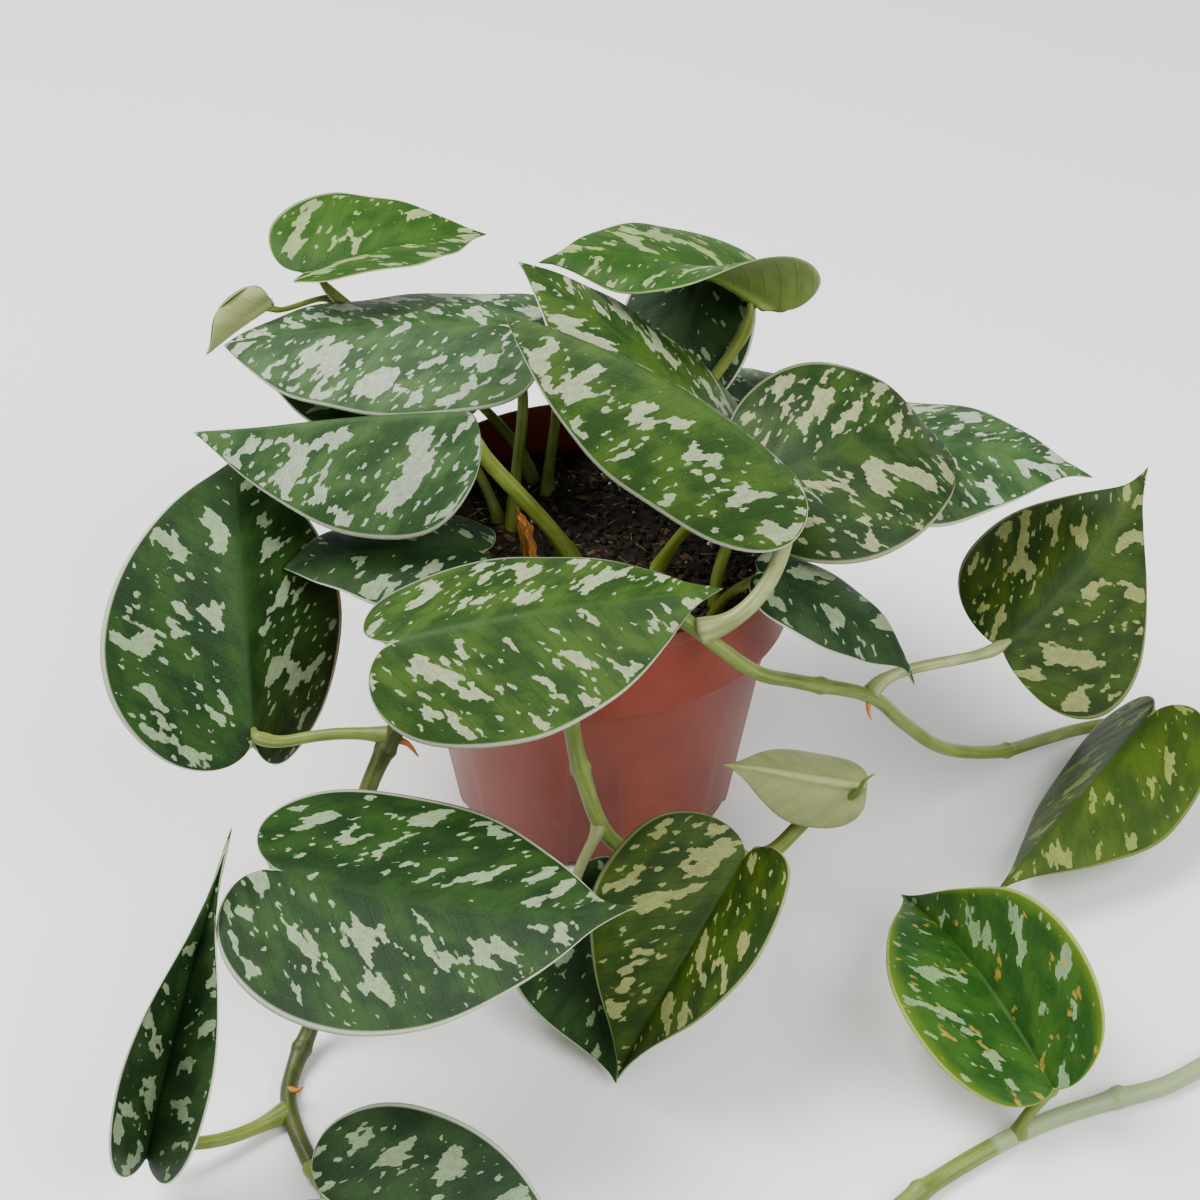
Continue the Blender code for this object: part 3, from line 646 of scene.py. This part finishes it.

# %% [markdown]
# ## Hang the leaves
# Each blade gets the skin that suits its age and place: the oldest are the most silvered, the
# ones that lie in shadow wear the shaded skin, whose bluer greens and dimmer marks are painted
# shade, and the newest at the vine ends are golden.

# %% Make the blades
# The leaves that wear each pair of upper skin and underside.
WEARS = {
    ("fresh", "yellow"): "top_left top_right",
    ("fresh", "pale"): "young_rolled",
    ("silvery", "plain"): "silver_left folded_left right_outer",
    ("mature", "plain"): "shaded_left far_left front_left front_narrow back_left back_right",
    # These leaves lie in shadow; the shaded skin they wear is painted shade.
    ("shaded", "plain"): "under_left back_shaded small_inner right_under left_edge front_low",
    ("lush", "plain"): "centre_big centre_back front_centre",
    ("cream", "plain"): "right_round",
    ("olive", "plain"): "right_heart",
    ("golden", "yellow"): "far_right",
    ("bluish", "yellow"): "low_right",
    ("olive", "yellow"): "front_yellow",
    ("golden", "pale"): "front_young",
}
worn = {leaf: pair for pair, leaves in WEARS.items() for leaf in leaves.split()}
for number, blade in enumerate(BLADES):
    skin, underside = worn[blade.name]
    leaf = finished_blade(blade, number + 1, SKINS[skin], UNDERSIDES[underside])
    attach(leaf, "root")
    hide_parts("blade_" + blade.name)
print("leaves:", len(BLADES))

# %% [markdown]
# ## Stalks and vines
# A stalk is a fleshy tube, a little swollen where it meets the blade and wide at its foot, where
# its sheath clasps the stem. A vine is a thicker tube with a ring at every joint. Both are a circle
# carried along a curve, and the radius, the rings and the UV map along the length all come from
# one function of the distance.


# %% Tube along a path
def along_path(points, count):
    """count points evenly spaced by distance along a smooth curve (Catmull-Rom) through points."""
    knots = np.asarray(points, dtype=float)
    knots = np.vstack([2 * knots[0] - knots[1], knots, 2 * knots[-1] - knots[-2]])
    t = np.linspace(0, 1, 25)[:-1, None]
    a, b, c, d = (knots[i:len(knots) - 3 + i, None, :] for i in range(4))
    dense = 0.5 * (2 * b + (c - a) * t + (2 * a - 5 * b + 4 * c - d) * t ** 2
                   + (3 * b - a - 3 * c + d) * t ** 3)
    dense = np.vstack([dense.reshape(-1, 3), knots[-2:-1]])
    run = np.concatenate([[0], np.cumsum(np.linalg.norm(np.diff(dense, axis=0), axis=1))])
    want = np.linspace(0, run[-1], count)
    return np.stack([np.interp(want, run, dense[:, i]) for i in range(3)], -1), want


def tube(name, points, run, radius, finish, sides=20):
    """A closed tube: at each point of the path a ring of the given radius, square to the path.
    The ring's starting direction is carried from one ring to the next, so it never twists. The
    rings shrink to a point at both ends."""
    points, radius = np.asarray(points), np.asarray(radius, dtype=float).copy()
    heading = np.gradient(points, axis=0)
    heading /= np.linalg.norm(heading, axis=1, keepdims=True)
    first = np.cross(heading[0], (0.3, 0.2, 1.0))
    carried = np.empty_like(points)
    for ring, direction in enumerate(heading):
        first = first - direction * np.dot(first, direction)
        first = first / np.linalg.norm(first)
        carried[ring] = first
    other = np.cross(heading, carried)
    angle = np.linspace(0, math.tau, sides + 1)[None, :, None]
    radius[0] = radius[-1] = 0.0
    rings = points[:, None] + radius[:, None, None] * (
        np.cos(angle) * carried[:, None] + np.sin(angle) * other[:, None])
    grid = np.stack(np.broadcast_arrays(run[:, None] / 10, angle[..., 0] / math.tau), -1)
    return piece_from(name, rings.reshape(-1, 3) * MM, grid_faces(len(points), sides + 1),
                      [finish], maps={"length": grid.reshape(-1, 2)})


# Stalks that meet their blade more steeply than the frame's solids do, in mm.
ARRIVALS = {"top_left": (-2, -5, 16), "far_left": (-9, 3, 3)}


def stalk_points(stalk, blade):
    """The stalk's curve: out of the soil or vine, and up into the base of the midrib from the
    side that it comes from."""
    rise, arrive = np.array(stalk.rise, float), np.array(stalk.arrive, float)
    if len(stalk.root) == 2:
        level = SOIL_LEVEL - SOIL_FALL * min(math.hypot(*stalk.root) / SOIL_RADIUS, 1.0) ** 2
        start = np.array([*stalk.root, level - 3.0])
    else:
        start = np.array(stalk.root, float)
    ahead, _, above = blade_turn(blade)
    facing = 1.0 if np.dot(above, arrive) > 0 else -1.0
    gap = (0.7 + stalk.radius) / math.cos(math.radians(blade.fold))
    end = np.array(blade.base) - above * facing * gap
    arrive = np.array(ARRIVALS.get(stalk.name, arrive), float)
    path = cubic([start, start + rise, end - arrive, end], np.linspace(0, 1, 9))
    joined = np.array(blade.base) + ahead * 2.5 - above * facing * 0.9
    return np.vstack([path, joined])


# %% [markdown]
# ## Stalk and vine finishes
# Stalks and vines share one skin: yellow-green with fine lengthwise streaks, a waxy gloss and a
# few corky specks. Old vine is dark green and scarred, and one stretch is grey-green with bloom.


# %% Green stem finish
def stem_skin(name, low, high, speck=(0.20, 0.11, 0.03), specks=0.72, pale=None):
    """Streaks from a noise stretched along the stem, clouds along its length, corky specks. pale
    gives the stretch, in cm along the stem, that is grey-green with bloom."""
    made, tree, shader = start_finish(name, 0.42, 0.3)
    length = put(tree, "UVMap", uv_map="length").outputs[0]
    where = put(tree, "TexCoord").outputs["Object"]
    streak = noise(tree, scaled(tree, length, (0.5, 14.0, 0.0)), 1.0, 2.0, flat=True)
    cloud = noise(tree, where, 110.0, 3.0)
    share = math_node(tree, "MULTIPLY_ADD", streak, 0.5, times(tree, cloud, 0.5))
    colour = blend(tree, ramp(tree, share, 0.34, 0.66), low, high)
    if pale is not None:
        run = put(tree, "SeparateXYZ", {0: length}).outputs[0]
        inside = times(tree, ramp(tree, run, pale[0], pale[0] + 1.5),
                       ramp_down(tree, run, pale[1], pale[1] + 0.3))
        colour = glaze(tree, colour, inside, 0.8, (0.26, 0.33, 0.17))
    spots = ramp(tree, noise(tree, where, 900.0, 2.0), specks, specks + 0.06)
    colour = glaze(tree, colour, spots, 0.6, speck)
    tree.links.new(colour, shader.inputs["Base Color"])
    relief(tree, shader, math_node(tree, "MULTIPLY_ADD", spots, 0.8, streak), 0.35, 0.0003)
    return made


STEMS = {
    "stalk": stem_skin("stalk_skin", (0.090, 0.120, 0.014), (0.170, 0.210, 0.035)),
    "bright": stem_skin("stalk_bright_skin", (0.140, 0.185, 0.018), (0.250, 0.320, 0.055)),
    "bloom": stem_skin("stalk_bloom_skin", (0.160, 0.185, 0.055), (0.300, 0.325, 0.140)),
    "young": stem_skin("vine_young_skin", (0.085, 0.120, 0.015), (0.160, 0.205, 0.042)),
    "trailing": stem_skin("vine_trailing_skin", (0.085, 0.120, 0.015), (0.160, 0.205, 0.042),
                          pale=(38.0, 48.2)),
    "old": stem_skin("vine_old_skin", (0.022, 0.036, 0.006), (0.070, 0.085, 0.016),
                     (0.13, 0.045, 0.02), 0.62),
}
print("stem skins:", ", ".join(STEMS))

# %% Make the stalks
STALK_WEARS = {"centre_big": "bloom", "folded_left": "bright", "centre_back": "bright",
               "silver_left": "bright", "under_left": "bright", "right_heart": "bloom",
               "low_right": "young", "front_narrow": "bloom", "right_round": "bright"}
blade_named = {blade.name: blade for blade in BLADES}
for stalk in STALKS:
    path, run = along_path(stalk_points(stalk, blade_named[stalk.name]), 56)
    share = run / run[-1]
    foot = 0.55 * np.exp(-(share / 0.13) ** 2)
    knee = 0.20 * np.exp(-((share - 0.86) / 0.07) ** 2)
    radius = stalk.radius * (0.92 + foot + knee - 0.10 * share)
    radius = radius * np.clip((1 - share) / 0.10, 0.35, 1) ** 0.5
    piece = tube("petiole_" + stalk.name, path, run, radius,
                 STEMS[STALK_WEARS.get(stalk.name, "stalk")])
    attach(piece, "root")
    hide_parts("stalk_" + stalk.name)
print("stalks:", len(STALKS))

# %% Make the vines
JOINTS = {"left": (0.24, 0.36, 0.60, 0.80), "front": (0.20, 0.46, 0.66, 0.86),
          "right": (0.06, 0.16, 0.33, 0.50, 0.66, 0.81, 0.93)}
VINE_RADII = {"left": 2.6, "front": 2.5, "right": 2.1}
VINE_WEARS = {"left": "old", "front": "young", "right": "trailing"}
for name, route in VINES.items():
    path, run = along_path(route, 420 if name == "right" else 260)
    share = run / run[-1]
    radius = np.full(len(run), VINE_RADII[name])
    for joint in JOINTS[name]:
        off = run - joint * run[-1]
        radius = radius * (1 + 0.20 * np.exp(-(off / 1.3) ** 2) + 0.12 * np.exp(-(off / 4.5) ** 2))
    radius = radius * (1 - 0.12 * share)
    if name == "right":
        radius = radius * (1 + 0.32 * np.clip((share - 0.55) / 0.2, 0, 1))
    path[:, 2] = np.maximum(path[:, 2], radius + 0.1)
    vine = tube("vine_stem_" + name, path, run, radius, STEMS[VINE_WEARS[name]], sides=28)
    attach(vine, "root")
    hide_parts("vine_" + name)
print("vines:", len(VINES))

# %% [markdown]
# ## Dried sheath
# At the foot of the stems a papery sheath is left from an old leaf. It is a small curled blade
# with a dry, fibrous finish.


# %% Dried sheath
def dry_paper(name):
    """Orange-brown paper with long dark fibres."""
    made, tree, shader = start_finish(name, 0.8, 0.3)
    veins = put(tree, "UVMap", uv_map="veins").outputs[0]
    fibre = noise(tree, scaled(tree, veins, (2.0, 30.0, 0.0)), 1.0, 3.0, flat=True)
    colour = blend(tree, ramp(tree, fibre, 0.35, 0.65), (0.22, 0.075, 0.012), (0.60, 0.26, 0.05))
    tree.links.new(colour, shader.inputs["Base Color"])
    relief(tree, shader, fibre, 0.6, 0.0004)
    return made


def spur(name, finish, points, thick):
    """A small pointed spur through the given points, thick mm in radius at its foot."""
    path, run = along_path(points, 16)
    made = tube(name, path, run, thick * (1 - 0.85 * run / run[-1]), finish, sides=12)
    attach(made, "root")


sheath_shape = Blade("dry_sheath", (-18, -12, 94), 170, 75, 0, 20, 8, -10, 30, 0, 30, 0, 0.05)
paper = dry_paper("dry_sheath_paper")
sheath = finished_blade(sheath_shape, 40, paper, paper)
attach(sheath, "root")
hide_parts("sheath_dried")
spur("node_spur_left", paper, [(-54, -76, 83), (-50, -77, 82), (-47, -78, 78)], 1.3)
spur("node_spur_right", paper, [(79, -42, 68), (79, -44, 65), (80, -45, 62)], 1.0)
spur("node_spur_low", paper, [(-83, -131, 4), (-80, -133, 6), (-78, -134, 9)], 1.1)
spur("young_sheath_tip", STEMS["young"], [(72, -62.5, 48), (75, -65, 53), (76, -67, 59),
                                          (79, -67, 62)], 1.5)
print("dried sheath and four spurs made")

# %% [markdown]
# ## Pot
# A nursery pot is blow- or injection-moulded in one piece: a tapering body, a step out to a
# straight collar that a thumb can grip, a rolled lip, and a foot ring cut by six gaps so that
# water can run out. Its outline is one closed profile, with small radii where the mould has them,
# turned about the axis. The foot's gaps lift the ring's bottom at six places.


# %% Pot surface
def rounded(profile, radius, steps=4):
    """A closed profile with each corner cut back by radius (or by 45 percent of its shorter side)
    and replaced by a quadratic curve."""
    profile = np.asarray(profile, dtype=float)
    before = np.roll(profile, 1, axis=0) - profile
    after = np.roll(profile, -1, axis=0) - profile
    size_before = np.linalg.norm(before, axis=1, keepdims=True)
    size_after = np.linalg.norm(after, axis=1, keepdims=True)
    cut = np.minimum(radius, 0.45 * np.minimum(size_before, size_after))
    start, end = profile + before / size_before * cut, profile + after / size_after * cut
    t = np.linspace(0, 1, steps + 1)[None, :, None]
    curve = ((1 - t) ** 2 * start[:, None] + 2 * (1 - t) * t * profile[:, None]
             + t ** 2 * end[:, None])
    return curve.reshape(-1, 2)


def spun(name, profile, sides, finish, shape):
    """A profile of (radius, height) turned about Z; shape then moves the grid of points."""
    angle = np.linspace(0, math.tau, sides + 1)[None, :]
    radius, height = profile[:, :1], profile[:, 1:]
    points = np.stack(np.broadcast_arrays(radius * np.cos(angle), radius * np.sin(angle),
                                          height + 0 * angle), -1)
    points = shape(points, angle)
    return piece_from(name, points.reshape(-1, 3) * MM, grid_faces(len(profile), sides + 1),
                      [finish])


def foot_gaps(points, angle):
    """Lifts the bottom of the outer foot ring by up to 3 mm in six gaps, 16 mm wide."""
    reach = np.hypot(points[..., 0], points[..., 1])
    turn = (angle / math.tau * 6) % 1.0 - 0.5
    gap = 1 / (1 + np.exp((np.abs(turn) * math.tau / 6 * 42 - 8) * 2.2))
    ring = (reach > 38.5) & (points[..., 2] < 3.4)
    points[..., 2] = np.where(ring, points[..., 2] + (3.3 - points[..., 2]) * gap, points[..., 2])
    return points


def moulded_plastic(name, low, high):
    """Reddish plastic: slight clouding, fine mould texture, and dust low on the wall."""
    made, tree, shader = start_finish(name, 0.40, 0.22)
    where = put(tree, "TexCoord").outputs["Object"]
    cloud = noise(tree, where, 28.0, 4.0)
    colour = blend(tree, ramp(tree, cloud, 0.3, 0.7), low, high)
    dust = noise(tree, where, 160.0, 6.0, 0.7)
    height = put(tree, "SeparateXYZ", {0: where}).outputs[2]
    dusty = times(tree, ramp(tree, dust, 0.48, 0.75),
                  math_node(tree, "MULTIPLY_ADD", ramp_down(tree, height, 0.0, 0.05), 0.12, 0.04))
    colour = blend(tree, dusty, colour, (0.42, 0.30, 0.24))
    tree.links.new(colour, shader.inputs["Base Color"])
    rough = math_node(tree, "MULTIPLY_ADD", cloud, 0.14, math_node(
        tree, "MULTIPLY_ADD", dusty, 0.5, 0.34))
    tree.links.new(rough, shader.inputs["Roughness"])
    grain = noise(tree, where, 1400.0, 1.0)
    scratch = noise(tree, scaled(tree, where, (1.0, 1.0, 14.0)), 60.0, 3.0)
    relief(tree, shader, math_node(tree, "MULTIPLY_ADD", scratch, 0.7, grain), 0.18, 0.0003)
    return made


pot_profile = rounded([
    (0, 0), (18, 0), (18, 3.5), (40, 3.5), (40, 0), (43.5, 0), (54.5, 75), (59, 75), (59.6, 98.5),
    (60, 99.4), (60, 103), (58.6, 103), (57.6, 76.4), (53.1, 76.4), (42.1, 5.3), (16.6, 5.3),
    (16.6, 1.8), (0, 1.8)], 0.8)
pot_profile = np.vstack([[(0, 0)], pot_profile[(pot_profile[:, 0] > 0.9)], [(0, 1.8)]])
pot = spun("pot_shell", pot_profile, 240, moulded_plastic(
    "terracotta_plastic", (0.175, 0.030, 0.018), (0.215, 0.042, 0.026)), foot_gaps)
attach(pot, "root")
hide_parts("pot")
print("pot profile:", len(pot_profile), "points")

# %% [markdown]
# ## Soil
# Potting soil is dark, loose and full of bits: crumbs, bark, pale fibres and white grit. A bumpy
# skin alone looks like a carpet, so the surface is a gently lumpy disc, and hundreds of small
# crumbs and fibres lie on it. Each crumb has a few dozen faces.


# %% Soil surface
def lumps(x, y, size, seed):
    """Smooth random heights from -1 to 1: random values at the corners of squares of the given
    size, blended between corners by a smooth step."""
    rng = np.random.default_rng(seed)
    table = rng.uniform(-1, 1, (256, 256))
    gx, gy = x / size + 80.0, y / size + 80.0
    ix, iy = np.floor(gx).astype(int), np.floor(gy).astype(int)
    fx, fy = gx - ix, gy - iy
    fx, fy = fx * fx * (3 - 2 * fx), fy * fy * (3 - 2 * fy)
    corner = [[table[(ix + i) % 256, (iy + j) % 256] for j in (0, 1)] for i in (0, 1)]
    return ((corner[0][0] * (1 - fx) + corner[1][0] * fx) * (1 - fy)
            + (corner[0][1] * (1 - fx) + corner[1][1] * fx) * fy)


def soil_level(x, y):
    """Height of the soil: a low dome with lumps of three sizes."""
    share = np.clip(np.hypot(x, y) / SOIL_RADIUS, 0, 1)
    fade = np.clip((1 - share) * 12, 0, 1)
    return (SOIL_LEVEL - SOIL_FALL * share ** 2 - 0.6 + fade * (
        0.7 * lumps(x, y, 9, 3) + 0.45 * lumps(x, y, 3.6, 4) + 0.25 * lumps(x, y, 1.5, 5)))


def crumbly(points, angle):
    """Moves the upper rings of the soil onto its lumpy surface."""
    top = points[..., 2] > 86.0
    points[..., 2] = np.where(top, soil_level(points[..., 0], points[..., 1]), points[..., 2])
    return points


def soil_finish(name):
    """Dark brown-black soil with paler fibrous patches."""
    made, tree, shader = start_finish(name, 0.92, 0.25)
    where = put(tree, "TexCoord").outputs["Object"]
    fine = noise(tree, where, 520.0, 6.0, 0.75)
    wide = noise(tree, where, 120.0, 3.0)
    colour = blend(tree, ramp(tree, fine, 0.38, 0.66), (0.006, 0.005, 0.004), (0.040, 0.030, 0.020))
    colour = glaze(tree, colour, ramp(tree, wide, 0.5, 0.72), 0.5, (0.055, 0.038, 0.022))
    tree.links.new(colour, shader.inputs["Base Color"])
    relief(tree, shader, fine, 0.9, 0.0012)
    return made


soil_paint = soil_finish("potting_soil")
ring = np.concatenate([np.linspace(SOIL_RADIUS, 2.0, 90), [0.0]])
soil_profile = np.vstack([[(0, 2.2), (16, 2.2), (16.2, 5.8), (41.6, 5.8), (52.2, 76.8),
                           (SOIL_RADIUS, 76.8)], np.stack([ring, np.full(len(ring), 88.0)], -1)])
soil = spun("soil_bed", soil_profile, 300, soil_paint, crumbly)
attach(soil, "root")
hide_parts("soil")
print("soil rings:", len(ring))


# %% Crumbs, fibres and grit
SCATTER_RADIUS = 54.0


def scatter(name, count, seed, sizes, finish, stretch=(1.0, 1.0, 1.0)):
    """count small lumps on the soil in one mesh: a coarse ball of 8 by 6 points, pushed in and out
    at random, stretched, turned and sunk half into the surface."""
    rng = np.random.default_rng(seed)
    turn, polar = np.meshgrid(np.linspace(0, math.tau, 9), np.linspace(0, math.pi, 6))
    ball = np.stack([np.sin(polar) * np.cos(turn), np.sin(polar) * np.sin(turn), np.cos(polar)], -1)
    rough = rng.uniform(0.65, 1.2, (count, 6, 8))
    rough[:, 0] = rough[:, :1, :1][:, 0]
    rough[:, -1] = rough[:, -1:, :1][:, 0]
    rough = np.concatenate([rough, rough[..., :1]], axis=2)
    size = rng.uniform(*sizes, (count, 1, 1, 1)) * np.array(stretch)
    body = ball[None] * rough[..., None] * size
    spin, lean = rng.uniform(0, math.tau, (2, count, 1, 1))
    x = body[..., 0] * np.cos(spin) - body[..., 1] * np.sin(spin)
    y = body[..., 0] * np.sin(spin) + body[..., 1] * np.cos(spin)
    z = body[..., 2] + 0.25 * body[..., 0] * np.sin(lean)
    reach = SCATTER_RADIUS * np.sqrt(rng.uniform(0, 1, count))
    around = rng.uniform(0, math.tau, count)
    cx, cy = reach * np.cos(around), reach * np.sin(around)
    cz = soil_level(cx, cy) + 0.25 * size[:, 0, 0, 2]
    points = np.stack([x + cx[:, None, None], y + cy[:, None, None], z + cz[:, None, None]], -1)
    quads = grid_faces(6, 9)
    faces = (quads[None] + (np.arange(count) * 54)[:, None, None]).reshape(-1, 4)
    return piece_from(name, points.reshape(-1, 3) * MM, faces, [finish], smooth=False)


def bit_finish(name, low, high, roughness=0.9):
    """Loose bits: two colours mixed by a noise over the soil, so neighbours differ."""
    made, tree, shader = start_finish(name, roughness, 0.25)
    where = put(tree, "TexCoord").outputs["Object"]
    mixed = noise(tree, where, 700.0, 4.0)
    tree.links.new(blend(tree, ramp(tree, mixed, 0.35, 0.65), low, high),
                   shader.inputs["Base Color"])
    relief(tree, shader, mixed, 0.6, 0.0005)
    return made


bits = [
    scatter("soil_crumbs", 900, 11, (0.5, 1.5), bit_finish(
        "soil_crumb", (0.008, 0.006, 0.004), (0.055, 0.038, 0.024))),
    scatter("bark_bits", 120, 12, (0.8, 1.9), bit_finish(
        "bark_bit", (0.06, 0.03, 0.014), (0.16, 0.085, 0.04)), (1.6, 0.7, 0.4)),
    scatter("pale_grit", 60, 13, (0.35, 0.8), bit_finish(
        "pale_grit", (0.45, 0.42, 0.36), (0.75, 0.72, 0.66))),
    scatter("soil_fibres", 220, 14, (0.12, 0.22), bit_finish(
        "soil_fibre", (0.10, 0.07, 0.04), (0.34, 0.26, 0.16)), (22.0, 1.0, 1.0)),
]
for bit in bits:
    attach(bit, "root")
print("loose bits:", [bit.name for bit in bits])
